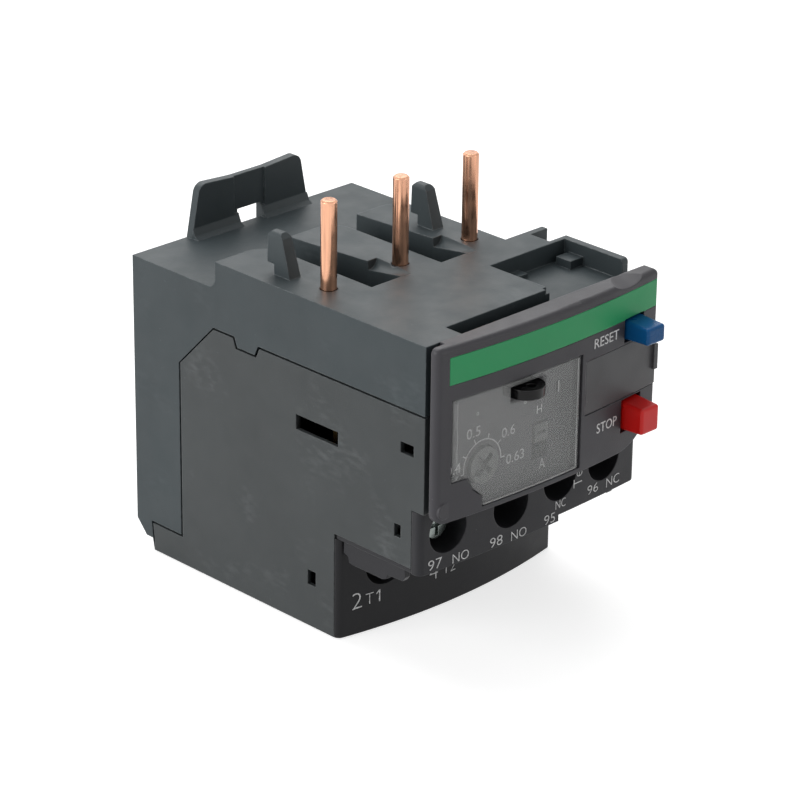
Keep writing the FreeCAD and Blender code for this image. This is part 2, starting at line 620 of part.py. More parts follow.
def output_bar(x):
    """Copper bar from the heater's foot to the upright pad behind the clamp screw."""
    terminal = x + terminal_shift
    flat = box(x - 3.0, x + 3.0, 27.0, 42.5, bar_z0, bar_z1)
    spread = box(x - 3.0, terminal + 4.0, 27.0, 30.0, bar_z0, bar_z1)
    pad = box(terminal - 4.0, terminal + 4.0, 27.0, 28.0, bar_z0, 15.4)
    bar = flat.fuse(spread).fuse(pad)
    return bar.cut(rod_y(terminal, terminal_z, 1.95, 20, 32)).removeSplitter()


def screw(x, z, head_y, head_radius, head_height, shank_radius, end_y):
    """A round head with a cross recess on a plain shank."""
    head = rod_y(x, z, head_radius, head_y, head_y + head_height)
    for size in ((head_radius * 0.8, 0.3), (0.3, head_radius * 0.8)):
        head = head.cut(box(x - size[0], x + size[0], head_y - 1, head_y + head_height * 0.5,
                            z - size[1], z + size[1]))
    return head.fuse(rod_y(x, z, shank_radius, head_y + head_height - 0.1, end_y)).removeSplitter()


def power_terminal_screws():
    return Part.makeCompound([screw(x, terminal_z, 18.8, 3.0, 2.2, 1.95, 30.5) for x in terminal_x])


def power_clamp_plates():
    plates = []
    for x in terminal_x:
        plate = box(x - 3.9, x + 3.9, 21.1, 22.3, terminal_z - 4.4, terminal_z + 3.4)
        plates.append(plate.cut(rod_y(x, terminal_z, 2.0, 20, 24)))
    return Part.makeCompound(plates)


def aux_terminal_screws():
    screws = []
    for x, z, head_y in zip(aux_x, aux_z, aux_head_y):
        screws.append(screw(x, z, head_y, 2.1, 1.5, 1.4, 12.2))
    return Part.makeCompound(screws)


def aux_clamp_plates():
    plates = []
    for x, z, head_y in zip(aux_x, aux_z, aux_head_y):
        plate = box(x - 2.2, x + 2.2, head_y + 1.55, head_y + 2.35, z - 2.2, z + 2.2)
        plates.append(plate.cut(rod_y(x, z, 1.45, 0, 12)))
    return Part.makeCompound(plates)


# ---- Auxiliary contacts ----

def fixed_contact(index):
    """Pad at the screw, a leg to the rear and the upright tip that meets the bridge."""
    x, z = aux_x[index], aux_z[index]
    makes = index < 2
    tip_y = bridge_y1 + carrier_travel + 0.1 if makes else bridge_y0 - 0.9
    pad = box(x - 2.0, x + 2.0, pad_y0, pad_y1, z - 3.5, 28.2)
    leg = box(x - 1.5, x + 1.5, pad_y0, tip_y + 0.8, 27.4, 28.2)
    tip = box(x - 1.5, x + 1.5, tip_y, tip_y + 0.8, 27.4, 35.8)
    strip = pad.fuse(leg).fuse(tip)
    return strip.cut(rod_y(x, z, 1.5, 5, 15)).removeSplitter()


def contact_carrier():
    plate = box(5.0, 9.0, 19.0, 31.0, 36.3, 37.5)
    cross = box(-13.0, 14.0, 17.3, 19.6, 36.3, 37.5)
    lug = box(5.0, 9.0, 29.95, 31.0, 37.3, 42.8)
    carrier = plate.fuse(cross).fuse(lug)
    for x in (-11.0, 10.2):
        stem = box(x - 1.4, x + 1.4, 17.5, 19.3, 32.4, 36.5)
        carrier = carrier.fuse(stem)
    carrier = carrier.cut(box(-12.5, -9.5, bridge_y0, bridge_y1, 33.0, 35.4))
    return carrier.cut(box(8.7, 11.7, bridge_y0, bridge_y1, 33.0, 35.4)).removeSplitter()


def moving_bridge(x0, x1):
    """A flat bridge that joins the two fixed tips of its pair."""
    return box(x0, x1, bridge_y0, bridge_y1, 33.0, 35.4)


# ---- Trip mechanism ----

def slider(z, front, rear, travel, right):
    """A comb over the three bimetal tips, with a window for each."""
    plate = box(-20.0, right, front, rear, z, z + slider_thick)
    for x in pole_x:
        reach = strip_thick / 2
        plate = plate.cut(box(x - reach - travel - 0.35, x + reach + 0.3, strip_y0 - 0.3, strip_y1 + 0.3,
                              z - 1, z + 3))
    return plate


def main_slider():
    plate = slider(slider_z, 34.6, 42.4, slider_travel, 12.7)
    post = rod_z(rocker_x, rocker_y - 0.4, 0.5, slider_z + 0.5, 40.3)
    return plate.fuse(post)


def differential_slider():
    plate = slider(second_slider_z, 36.0, 42.4, slider_travel / 2, 12.7)
    notch = box(rocker_x - 1.6, rocker_x + 2.4, 30, rocker_y + 1.0, 36, 40)
    post = rod_z(rocker_x, rocker_rear_y + 0.2, 0.45, second_slider_z + 0.5, 40.3)
    return plate.cut(notch).fuse(post)


def differential_lever():
    """A rocker over both sliders, pivoted on the first and slotted on the second."""
    pivot_y = rocker_y - 0.4
    bar = box(rocker_x - 1.0, rocker_x + 0.85, pivot_y - 1.0, rocker_rear_y + 1.3, 38.8, 40.0)
    bar = bar.cut(rod_z(rocker_x, pivot_y, 0.55, 38, 41))
    slot_y = rocker_rear_y + 0.2
    return bar.cut(box(rocker_x - 0.5, rocker_x + 0.5, slot_y - 0.75, slot_y + 0.75, 38, 41))


def trip_lever():
    hub = rod_z(lever_x, lever_y, 1.7, 38.2, 43.4)
    rear_arm = box(lever_x + 0.2, lever_x + 1.2, lever_y, lever_y + 8.4, 38.6, 40.2)
    nose = box(lever_x - 0.8, lever_x + 1.0, lever_y + 7.2, lever_y + 8.4, 38.6, 40.2)
    front_arm = box(lever_x - 6.6, lever_x, lever_y - 0.6, lever_y + 0.6, 41.2, 42.8)
    lever = hub.fuse(rear_arm).fuse(nose).fuse(front_arm)
    return lever.cut(rod_z(lever_x, lever_y, 0.85, 36, 46)).removeSplitter()


def trip_lever_pin():
    shaft = rod_z(lever_x, lever_y, 0.8, 37.4, roof_z + 0.6)
    return shaft.fuse(rod_z(lever_x, lever_y, 1.3, 37.2, 38.0))


def adjusting_lever():
    """Rides on the dial's cam and carries the compensation strip."""
    hub = rod_y(adjust_x, adjust_z, 1.7, 2.9, 9.0)
    low = dial_z + cam_small + 0.3
    arm = front_profile([(adjust_x, adjust_z - 1.4), (adjust_x, adjust_z + 1.4), (dial_x - 1.0, low + 1.5),
                         (dial_x - 1.0, low), (dial_x + 1.0, low)], cam_y0, cam_y1)
    seat = box(-9.5, adjust_x, 7.4, 9.0, adjust_z - 0.8, adjust_z + 0.8)
    lever = hub.fuse(arm).fuse(seat)
    return lever.cut(rod_y(adjust_x, adjust_z, 0.95, 0, 12)).removeSplitter()


def adjusting_lever_pin():
    return rod_y(adjust_x, adjust_z, 0.9, 0, 10.0)


def compensation_strip():
    return box(-9.4, -6.0, 9.0, 33.0, adjust_z - 0.4, adjust_z + 0.4)


def build():
    nodes = {"main_housing": main_housing(), "left_side_cover": left_side_cover(),
             "power_terminal_block": power_terminal_block(), "aux_terminal_block": aux_terminal_block(),
             "front_cover": front_cover(), "green_band": green_band(), "marker_plate": marker_plate(),
             "window_flap": window_flap(), "sealing_lug": sealing_lug(),
             "setting_dial": setting_dial(), "dial_cam": dial_cam(), "mode_selector": mode_selector(),
             "reset_button": push_button(reset_x, reset_z, reset_size, reset_front_y, 11.0, 0.25),
             "reset_spring": coil_y(reset_x, reset_z, 1.65, 0.2, 0.65, 7.9, 4),
             "stop_button": push_button(stop_x, stop_z, stop_size, stop_front_y, 14.4, 0.3),
             "stop_spring": coil_y(stop_x, stop_z, 1.65, 0.2, 0.65, 7.9, 4),
             "test_button": test_button(), "trip_indicator": trip_indicator(),
             "power_terminal_screws": power_terminal_screws(), "power_clamp_plates": power_clamp_plates(),
             "aux_terminal_screws": aux_terminal_screws(), "aux_clamp_plates": aux_clamp_plates(),
             "contact_carrier": contact_carrier(),
             "make_bridge": moving_bridge(-18.6, -3.5), "break_bridge": moving_bridge(3.9, 16.4),
             "main_slider": main_slider(), "differential_slider": differential_slider(),
             "differential_lever": differential_lever(), "trip_lever": trip_lever(),
             "trip_lever_pin": trip_lever_pin(), "adjusting_lever": adjusting_lever(),
             "adjusting_lever_pin": adjusting_lever_pin(), "compensation_strip": compensation_strip()}
    for index, name in enumerate(aux_names):
        nodes["fixed_contact_" + name] = fixed_contact(index)
    makers = {"contact_pin": contact_pin, "bimetal_strip": bimetal_strip, "heater_winding": heater_winding,
              "input_link": input_link, "output_bar": output_bar}
    for prefix, maker in makers.items():
        for x, name in zip(pole_x, pole_names):
            nodes[prefix + "_" + name] = maker(x)
    return nodes


os.makedirs("parts", exist_ok=True)
for node, shape in build().items():
    shape.translate(V(0, -depth_centre, 0))
    shape.exportStep("parts/" + node + ".step")
    print(node, len(shape.Solids), round(shape.Volume, 1), shape.isValid())
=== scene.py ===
import math

import bmesh
import bpy
import numpy as np
from mathutils import Matrix, Vector


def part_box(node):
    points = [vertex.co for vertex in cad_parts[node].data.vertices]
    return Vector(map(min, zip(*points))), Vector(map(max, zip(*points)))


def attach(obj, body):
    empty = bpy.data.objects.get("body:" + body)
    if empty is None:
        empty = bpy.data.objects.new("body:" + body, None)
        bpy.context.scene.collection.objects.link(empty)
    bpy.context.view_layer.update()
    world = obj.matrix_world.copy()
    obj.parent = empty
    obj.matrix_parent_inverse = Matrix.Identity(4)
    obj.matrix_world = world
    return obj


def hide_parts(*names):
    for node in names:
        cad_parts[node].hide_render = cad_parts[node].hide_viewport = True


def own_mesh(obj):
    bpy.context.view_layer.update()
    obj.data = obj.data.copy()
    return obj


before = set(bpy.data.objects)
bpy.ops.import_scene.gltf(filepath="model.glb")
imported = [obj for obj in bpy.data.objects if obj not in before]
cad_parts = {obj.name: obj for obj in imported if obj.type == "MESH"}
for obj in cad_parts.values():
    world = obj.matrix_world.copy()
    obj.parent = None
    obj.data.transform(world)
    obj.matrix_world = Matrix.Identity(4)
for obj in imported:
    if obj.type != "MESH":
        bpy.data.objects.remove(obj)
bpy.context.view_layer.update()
scene = bpy.context.scene
print("relay frame loaded:", len(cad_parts), "nodes")

# camera, lamps and floor, in metres

cameraSetup = {
    "place": (-0.345712, -0.347293, 0.244588),
    "azimuth": -44.83029,     # degrees, 0 looks along +Y
    "elevation": 23.84419,
    "roll": 0.7102,
    "lens": 162.88,           # mm
    "sensor": 36,             # mm
    "near": 0.01,
    "far": 20,
}


def makeCamera():
    # the camera's axes follow from azimuth and elevation, then roll turns them about the view
    a = math.radians(cameraSetup["azimuth"])
    e = math.radians(cameraSetup["elevation"])
    r = math.radians(cameraSetup["roll"])
    back = Vector((math.sin(a) * math.cos(e), -math.cos(a) * math.cos(e), math.sin(e)))
    levelRight = Vector((math.cos(a), math.sin(a), 0))
    levelUp = back.cross(levelRight)
    right = levelRight * math.cos(r) + levelUp * math.sin(r)
    up = levelUp * math.cos(r) - levelRight * math.sin(r)
    turn = Matrix((right, up, back)).transposed().to_4x4()
    data = bpy.data.cameras.new("studioCamera")
    data.lens = cameraSetup["lens"]
    data.sensor_width = cameraSetup["sensor"]
    data.clip_start = cameraSetup["near"]
    data.clip_end = cameraSetup["far"]
    camera = bpy.data.objects.new("studioCamera", data)
    camera.matrix_world = Matrix.Translation(Vector(cameraSetup["place"])) @ turn
    scene.collection.objects.link(camera)
    scene.camera = camera


lampSetup = {
    # place, aim, width, height, watts
    "softboxAbove": ((0.16, 0.34, 0.62), (0, 0, 0.03), 0.75, 0.75, 4.8),
    "softboxLeft": ((-0.75, 0.16, 0.30), (0, 0, 0.03), 0.6, 0.6, 4.9),
    "softboxFront": ((0.25, -0.75, 0.20), (0, 0, 0.03), 0.5, 0.5, 1.2),
}


def makeLamps():
    for name, (place, aim, width, height, watts) in lampSetup.items():
        data = bpy.data.lights.new(name, "AREA")
        data.shape = "RECTANGLE"
        data.size = width
        data.size_y = height
        data.energy = watts
        lamp = bpy.data.objects.new(name, data)
        direction = Vector(aim) - Vector(place)
        lamp.rotation_euler = direction.to_track_quat("-Z", "Y").to_euler()
        lamp.location = place
        scene.collection.objects.link(lamp)


def mathNode(nodes, links, operation, first, second):
    node = nodes.new("ShaderNodeMath")
    node.operation = operation
    links.new(first, node.inputs[0])
    links.new(second, node.inputs[1])
    return node.outputs[0]


def ramp(nodes, links, value, low, high, dark, light):
    # dark at low, light at high, a straight line between
    node = nodes.new("ShaderNodeMapRange")
    node.inputs["From Min"].default_value = low
    node.inputs["From Max"].default_value = high
    node.inputs["To Min"].default_value = dark
    node.inputs["To Max"].default_value = light
    links.new(value, node.inputs["Value"])
    return node.outputs["Result"]


def seenDirectly(nodes, links):
    # 1 for camera, glossy and transmission rays, 0 for the rays that carry light
    path = nodes.new("ShaderNodeLightPath").outputs
    seen = mathNode(nodes, links, "MAXIMUM", path["Is Camera Ray"], path["Is Glossy Ray"])
    return mathNode(nodes, links, "MAXIMUM", seen, path["Is Transmission Ray"])


floorSetup = {
    "half": 3.0,
    "drop": 0.0002,           # under the relay, so that the two share no plane
    "grey": 0.55,
    "glow": 0.72,             # strength as far as near, rising to farGlow at far
    "farGlow": 1.0,
    "near": 0.22,
    "far": 0.90,
    "worldFill": 0.22,        # light that the world gives, against 1 where it is seen
}


def whitePaper():
    material = bpy.data.materials.new("whitePaper")
    material.use_nodes = True
    nodes, links = material.node_tree.nodes, material.node_tree.links
    nodes.clear()
    out = nodes.new("ShaderNodeOutputMaterial")
    lit = nodes.new("ShaderNodeBsdfDiffuse")
    lit.inputs["Color"].default_value = (floorSetup["grey"],) * 3 + (1,)
    glow = nodes.new("ShaderNodeEmission")
    glow.inputs["Color"].default_value = (1, 1, 1, 1)
    place = nodes.new("ShaderNodeTexCoord")
    reach = nodes.new("ShaderNodeVectorMath")
    reach.operation = "LENGTH"
    links.new(place.outputs["Object"], reach.inputs[0])
    level = ramp(nodes, links, reach.outputs["Value"], floorSetup["near"], floorSetup["far"],
                 floorSetup["glow"], floorSetup["farGlow"])
    strength = mathNode(nodes, links, "MULTIPLY", seenDirectly(nodes, links), level)
    links.new(strength, glow.inputs["Strength"])
    both = nodes.new("ShaderNodeAddShader")
    links.new(lit.outputs[0], both.inputs[0])
    links.new(glow.outputs[0], both.inputs[1])
    links.new(both.outputs[0], out.inputs["Surface"])
    return material


def makeStage():
    half = floorSetup["half"]
    corners = [(-half, -half, 0), (half, -half, 0), (half, half, 0), (-half, half, 0)]
    mesh = bpy.data.meshes.new("paperFloor")
    mesh.from_pydata(corners, [], [(0, 1, 2, 3)])
    mesh.materials.append(whitePaper())
    floor = bpy.data.objects.new("paperFloor", mesh)
    floor.location = (0, 0, -floorSetup["drop"])
    scene.collection.objects.link(floor)
    world = bpy.data.worlds.new("studioWorld")
    scene.world = world
    world.use_nodes = True
    nodes, links = world.node_tree.nodes, world.node_tree.links
    nodes.clear()
    out = nodes.new("ShaderNodeOutputWorld")
    sky = nodes.new("ShaderNodeBackground")
    sky.inputs["Color"].default_value = (1, 1, 1, 1)
    level = ramp(nodes, links, seenDirectly(nodes, links), 0.0, 1.0, floorSetup["worldFill"], 1.0)
    links.new(level, sky.inputs["Strength"])
    links.new(sky.outputs[0], out.inputs["Surface"])


makeCamera()
makeLamps()
makeStage()
scene.view_settings.view_transform = "Standard"
print("camera, lamps and floor ready")

# finishes: colours are written 0 to 255, noise scales are per metre


def toLinear(rgb):
    values = np.array(rgb, dtype=float) / 255.0
    linear = np.where(values <= 0.04045, values / 12.92, ((values + 0.055) / 1.055) ** 2.4)
    return tuple(float(v) for v in linear) + (1.0,)


def startMaterial(name):
    material = bpy.data.materials.new(name)
    material.use_nodes = True
    nodes, links = material.node_tree.nodes, material.node_tree.links
    nodes.clear()
    out = nodes.new("ShaderNodeOutputMaterial")
    shader = nodes.new("ShaderNodeBsdfPrincipled")
    links.new(shader.outputs[0], out.inputs["Surface"])
    place = nodes.new("ShaderNodeTexCoord")
    return material, nodes, links, shader, place.outputs["Object"]


def noise(nodes, links, place, scale, detail=2.0, stretch=None):
    texture = nodes.new("ShaderNodeTexNoise")
    texture.inputs["Scale"].default_value = scale
    texture.inputs["Detail"].default_value = detail
    if stretch:
        mapping = nodes.new("ShaderNodeMapping")
        mapping.inputs["Scale"].default_value = stretch
        links.new(place, mapping.inputs["Vector"])
        place = mapping.outputs[0]
    links.new(place, texture.inputs["Vector"])
    return texture.outputs["Fac"]


def blendColour(nodes, links, amount, first, second):
    # first where amount is 0, second where it is 1; each is a socket or a fixed colour
    node = nodes.new("ShaderNodeMix")
    node.data_type = "RGBA"
    links.new(amount, node.inputs[0])
    for socket, value in ((6, first), (7, second)):
        if isinstance(value, tuple):
            node.inputs[socket].default_value = value
        else:
            links.new(value, node.inputs[socket])
    return node.outputs[2]


def softEdge(nodes, links, radius):
    # rounded shading along each edge, and how far it turns from the flat face
    bevel = nodes.new("ShaderNodeBevel")
    bevel.samples = 6
    bevel.inputs["Radius"].default_value = radius
    flat = nodes.new("ShaderNodeNewGeometry")
    dot = nodes.new("ShaderNodeVectorMath")
    dot.operation = "DOT_PRODUCT"
    links.new(bevel.outputs[0], dot.inputs[0])
    links.new(flat.outputs["Normal"], dot.inputs[1])
    edge = ramp(nodes, links, dot.outputs["Value"], 0.97, 0.80, 0.0, 1.0)
    return bevel.outputs[0], edge


def setBump(nodes, links, shader, height, normal, strength, distance):
    bump = nodes.new("ShaderNodeBump")
    bump.inputs["Strength"].default_value = strength
    bump.inputs["Distance"].default_value = distance
    links.new(height, bump.inputs["Height"])
    links.new(normal, bump.inputs["Normal"])
    links.new(bump.outputs[0], shader.inputs["Normal"])


plasticSetup = {
    "cloud": 55.0,            # slow change of shade
    "patch": 85.0,            # where the rubbed patches lie
    "rub": 1100.0,            # streaks inside a rubbed patch
    "rubStretch": (1.0, 0.45, 1.0),
    "edgeBreakup": 900.0,           # breaks up the painted edge highlight and the wear on the edges
    "specks": 2600.0,
    "speckShade": 0.30,
    "gloss": 240.0,           # uneven polish
    "grain": 5200.0,          # spark-eroded texture
    "grainDepth": 0.00006,
    "edgeRadius": 0.00025,
}


def mouldedPlastic(name, colour, rough, grain, edgeHighlightAndWear, mottle=0.10, sheen=0.5, scuffed=0.0):
    # mottled colour, rubbed patches, paler edges that are a painted highlight broken up as wear, a few
    # pale specks, fine grain
    material, nodes, links, shader, place = startMaterial(name)
    base = toLinear(colour)
    pale = tuple(min(1.0, c * 1.9 + 0.08) for c in base[:3]) + (1.0,)
    deep = tuple(c * (1 - 2 * mottle) for c in base[:3]) + (1.0,)
    cloud = noise(nodes, links, place, plasticSetup["cloud"], 4.0)
    shade = blendColour(nodes, links, ramp(nodes, links, cloud, 0.3, 0.7, 0.0, 1.0), deep, base)
    if scuffed:
        where = noise(nodes, links, place, plasticSetup["patch"], 2.0)
        streak = noise(nodes, links, place, plasticSetup["rub"], 5.0, plasticSetup["rubStretch"])
        rubbed = mathNode(nodes, links, "MULTIPLY", ramp(nodes, links, where, 0.56, 0.70, 0.0, 1.0),
                          ramp(nodes, links, streak, 0.44, 0.72, 0.0, scuffed))
        shade = blendColour(nodes, links, rubbed, shade, pale)
    normal, edge = softEdge(nodes, links, plasticSetup["edgeRadius"])
    edgeBreakup = noise(nodes, links, place, plasticSetup["edgeBreakup"], 3.0)
    # edges painted paler: a painted highlight along every edge, broken up by noise as wear
    edgeHighlightAndWearMask = mathNode(nodes, links, "MULTIPLY", edge,
                    ramp(nodes, links, edgeBreakup, 0.35, 0.65, 0.15 * edgeHighlightAndWear, edgeHighlightAndWear))
    shade = blendColour(nodes, links, edgeHighlightAndWearMask, shade, pale)
    specks = noise(nodes, links, place, plasticSetup["specks"], 1.0)
    speckAmount = ramp(nodes, links, specks, 0.78, 0.82, 0.0, plasticSetup["speckShade"])
    shade = blendColour(nodes, links, speckAmount, shade, pale)
    links.new(shade, shader.inputs["Base Color"])
    gloss = noise(nodes, links, place, plasticSetup["gloss"], 3.0)
    uneven = ramp(nodes, links, gloss, 0.3, 0.7, rough - 0.06, rough + 0.07)
    links.new(uneven, shader.inputs["Roughness"])
    shader.inputs["Specular IOR Level"].default_value = sheen
    fine = noise(nodes, links, place, plasticSetup["grain"], 2.0)
    setBump(nodes, links, shader, fine, normal, grain, plasticSetup["grainDepth"])
    return material


metalSetup = {"polish": 300.0, "streakDepth": 0.00003, "edgeRadius": 0.0001}


def platedMetal(name, colour, rough, stretch, tint, grainScale=1500.0, grain=0.25):
    # drawn or plated metal: long faint streaks, uneven polish, soft edges
    material, nodes, links, shader, place = startMaterial(name)
    base = toLinear(colour)
    deep = tuple(c * (1 - tint) for c in base[:3]) + (1.0,)
    streak = noise(nodes, links, place, grainScale, 3.0, stretch)
    shade = blendColour(nodes, links, ramp(nodes, links, streak, 0.3, 0.7, 0.0, 1.0), deep, base)
    links.new(shade, shader.inputs["Base Color"])
    shader.inputs["Metallic"].default_value = 1.0
    polish = noise(nodes, links, place, metalSetup["polish"], 3.0)
    uneven = ramp(nodes, links, polish, 0.3, 0.7, rough - 0.06, rough + 0.10)
    links.new(uneven, shader.inputs["Roughness"])
    normal, edge = softEdge(nodes, links, metalSetup["edgeRadius"])
    setBump(nodes, links, shader, streak, normal, grain, metalSetup["streakDepth"])
    return material


clearSetup = {
    "haze": 120.0,
    "scratch": 500.0,
    "scratchStretch": (1.0, 1.0, 0.12),
    "edgeRadius": 0.00018,
    "edgeHighlightColour": (0.95, 0.95, 0.95, 1.0),
    "sheen": 0.6,
    "bump": 0.08,
    "bumpDepth": 0.00005,
}


def clearPlastic(name, colour, cover):
    # slightly hazy transparent moulding: faint flow lines, fine scratches in its polish, edges painted
    # pale as a highlight
    material, nodes, links, shader, place = startMaterial(name)
    base = toLinear(colour)
    haze = noise(nodes, links, place, clearSetup["haze"], 4.0)
    deep = tuple(c * 0.9 for c in base[:3]) + (1.0,)
    normal, edge = softEdge(nodes, links, clearSetup["edgeRadius"])
    flow = blendColour(nodes, links, haze, deep, base)
    # the edges are mixed to a pale colour: a painted highlight
    shade = blendColour(nodes, links, edge, flow, clearSetup["edgeHighlightColour"])
    links.new(shade, shader.inputs["Base Color"])
    scratch = noise(nodes, links, place, clearSetup["scratch"], 3.0, clearSetup["scratchStretch"])
    links.new(ramp(nodes, links, scratch, 0.3, 0.7, 0.16, 0.22), shader.inputs["Roughness"])
    shader.inputs["Alpha"].default_value = cover
    shader.inputs["Specular IOR Level"].default_value = clearSetup["sheen"]
    setBump(nodes, links, shader, haze, normal, clearSetup["bump"], clearSetup["bumpDepth"])
    return material


def printedInk(name, colour):
    # slightly broken pad-printed ink
    material, nodes, links, shader, place = startMaterial(name)
    base = toLinear(colour)
    thin = tuple(c * 0.6 for c in base[:3]) + (1.0,)
    patch = noise(nodes, links, place, 3500.0, 3.0)
    shade = blendColour(nodes, links, ramp(nodes, links, patch, 0.35, 0.6, 0.0, 1.0), thin, base)
    links.new(shade, shader.inputs["Base Color"])
    links.new(ramp(nodes, links, patch, 0.3, 0.7, 0.5, 0.7), shader.inputs["Roughness"])
    return material


plastics = {
    # colour, roughness, grain, painted edge highlight and wear, mottle, sheen, rubbed patches
    "upperShell": ((56, 64, 67), 0.48, 0.35, 0.85, 0.10, 0.30, 0.15),
    "sidePlate": ((61, 65, 66), 0.46, 0.40, 0.65, 0.10, 0.28, 0.28),
    # darker than the other housing plastics: its own dark grey, deepened with painted shade for the
    # shadow under the aux block
    "powerBlockPaintedShade": ((40, 40, 42), 0.40, 0.30, 0.35, 0.10, 0.16, 0.0),
    "auxBlock": ((46, 46, 49), 0.40, 0.30, 0.40, 0.10, 0.18, 0.0),
    "cover": ((66, 65, 69), 0.42, 0.35, 0.45, 0.10, 0.24, 0.0),
    "greenBand": ((54, 160, 102), 0.38, 0.20, 0.10, 0.05, 0.22, 0.0),
    "marker": ((76, 76, 78), 0.42, 0.35, 0.50, 0.10, 0.30, 0.0),
    "sealingLug": ((12, 12, 13), 0.20, 0.20, 0.60, 0.10, 0.22, 0.0),
    "reset": ((8, 84, 140), 0.30, 0.15, 0.40, 0.05, 0.20, 0.0),
    "stop": ((222, 24, 20), 0.32, 0.15, 0.22, 0.05, 0.34, 0.0),
    "nylon": ((196, 194, 184), 0.45, 0.20, 0.10, 0.05, 0.50, 0.0),
    "dial": ((84, 86, 84), 0.40, 0.20, 0.30, 0.05, 0.50, 0.0),
    "flag": ((226, 170, 110), 0.45, 0.20, 0.10, 0.05, 0.50, 0.0),
}
clears = {
    # colour, share that covers what lies behind
    "flapClear": ((226, 228, 227), 0.19),
    # pale, more opaque strip that paints a highlight along the flap's edges
    "flapEdgeClear": ((206, 208, 207), 0.38),
}
metals = {
    # colour, roughness, stretch of the streaks, darker share, streak scale, streak height
    "drawnCopper": ((236, 178, 146), 0.18, (1, 1, 0.06), 0.34, 1500.0, 0.25),
    "tinnedCopper": ((196, 188, 176), 0.30, (1, 0.2, 1), 0.15, 1500.0, 0.25),
    "zincPlate": ((142, 150, 147), 0.20, (1, 1, 1), 0.22, 700.0, 0.25),
    "bimetalStrip": ((160, 154, 144), 0.34, (1, 1, 0.1), 0.2, 1500.0, 0.25),
    "heaterRibbon": ((120, 112, 104), 0.45, (1, 0.2, 1), 0.3, 1500.0, 0.25),
    "springWire": ((180, 180, 182), 0.25, (1, 1, 1), 0.2, 1500.0, 0.25),
    "contactBrass": ((150, 122, 78), 0.28, (1, 0.2, 1), 0.2, 1500.0, 0.25),
}
finishes = {name: mouldedPlastic(name + "Plastic", *values) for name, values in plastics.items()}
finishes.update((name, clearPlastic(name, *values)) for name, values in clears.items())
finishes.update((name, platedMetal(name, *values)) for name, values in metals.items())
finishes["paleInk"] = printedInk("paleInk", (236, 236, 236))

nodeFinish = {
    "main_housing": "upperShell", "left_side_cover": "sidePlate", "power_terminal_block": "powerBlockPaintedShade",
    "aux_terminal_block": "auxBlock", "front_cover": "cover", "green_band": "greenBand",
    "marker_plate": "marker", "window_flap": "flapClear", "sealing_lug": "sealingLug",
    "reset_button": "reset", "stop_button": "stop", "test_button": "sealingLug", "setting_dial": "dial",
    "dial_cam": "nylon", "mode_selector": "dial", "trip_indicator": "flag", "reset_spring": "springWire",
    "stop_spring": "springWire", "power_terminal_screws": "zincPlate", "power_clamp_plates": "zincPlate",
    "aux_terminal_screws": "zincPlate", "aux_clamp_plates": "zincPlate", "contact_carrier": "nylon",
    "make_bridge": "contactBrass", "break_bridge": "contactBrass", "main_slider": "nylon",
    "differential_slider": "nylon", "differential_lever": "nylon", "trip_lever": "nylon",
    "trip_lever_pin": "springWire", "adjusting_lever": "nylon", "adjusting_lever_pin": "springWire",
    "compensation_strip": "bimetalStrip",
}
familyFinish = {
    # nodes named by pole or terminal, without the last part of the name
    "fixed_contact": "contactBrass", "contact_pin": "drawnCopper", "bimetal_strip": "bimetalStrip",
    "heater_winding": "heaterRibbon", "input_link": "drawnCopper", "output_bar": "tinnedCopper",
}

for nodeName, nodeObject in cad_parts.items():
    finishName = nodeFinish.get(nodeName) or familyFinish[nodeName.rsplit("_", 1)[0]]
    slots = nodeObject.data.materials
    if len(slots) == 0:
        slots.append(finishes[finishName])
    for slotIndex in range(len(slots)):
        slots[slotIndex] = finishes[finishName]
print("finishes on", len(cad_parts), "nodes")

# printed words, thin trim and the painted highlight strips of the flap, laid on the bowed faces

halfWidth = (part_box("main_housing")[1][0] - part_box("main_housing")[0][0]) / 2
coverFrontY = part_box("front_cover")[0][1]
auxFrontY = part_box("aux_terminal_block")[0][1]
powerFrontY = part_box("power_terminal_block")[0][1]
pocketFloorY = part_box("sealing_lug")[1][1]
bowSag = {"cover": 0.0015, "aux": 0.0009, "power": 0.0025}


def bowedY(x, midY, sag):
    # circular arc, bowed to the front, that falls back by sag at both sides
    radius = (halfWidth ** 2 + sag ** 2) / (2 * sag)
    return midY + radius - np.sqrt(radius ** 2 - np.minimum(np.abs(x), halfWidth) ** 2)


surfaces = {
    "cover": lambda x: bowedY(x, coverFrontY, bowSag["cover"]),
    "aux": lambda x: bowedY(x, auxFrontY, bowSag["aux"]),
    "power": lambda x: bowedY(x, powerFrontY, bowSag["power"]),
    "pocket": lambda x: np.full_like(x, pocketFloorY),
}

inkSetup = {
    "thick": 0.00004,
    "proud": 0.3,             # how far the middle of the ink stands out, as a share of its thickness
    "capHeight": 0.70,        # height of a capital at letter size 1
    "curveSteps": 3,
    "weld": 1e-7,
}


def evaluatedText(name, text, height, thin):
    # flat letters in their own plane: x goes across, y goes up, z is the thickness
    curve = bpy.data.curves.new(name, "FONT")
    curve.body = text
    curve.size = height / inkSetup["capHeight"]
    curve.align_x = "CENTER"
    curve.align_y = "CENTER"
    curve.extrude = inkSetup["thick"] / 2
    curve.offset = -thin * height
    curve.resolution_u = inkSetup["curveSteps"]
    source = bpy.data.objects.new(name + "Source", curve)
    scene.collection.objects.link(source)
    bpy.context.view_layer.update()
    mesh = bpy.data.meshes.new_from_object(source.evaluated_get(bpy.context.evaluated_depsgraph_get()))
    bpy.data.objects.remove(source)
    mesh.name = name
    return mesh


def closeShell(mesh, weld=None):
    # merge doubles when a weld distance is given, then point every face outwards
    work = bmesh.new()
    work.from_mesh(mesh)
    if weld:
        bmesh.ops.remove_doubles(work, verts=work.verts, dist=weld)
    bmesh.ops.recalc_face_normals(work, faces=work.faces)
    work.to_mesh(mesh)
    work.free()
    mesh.update()


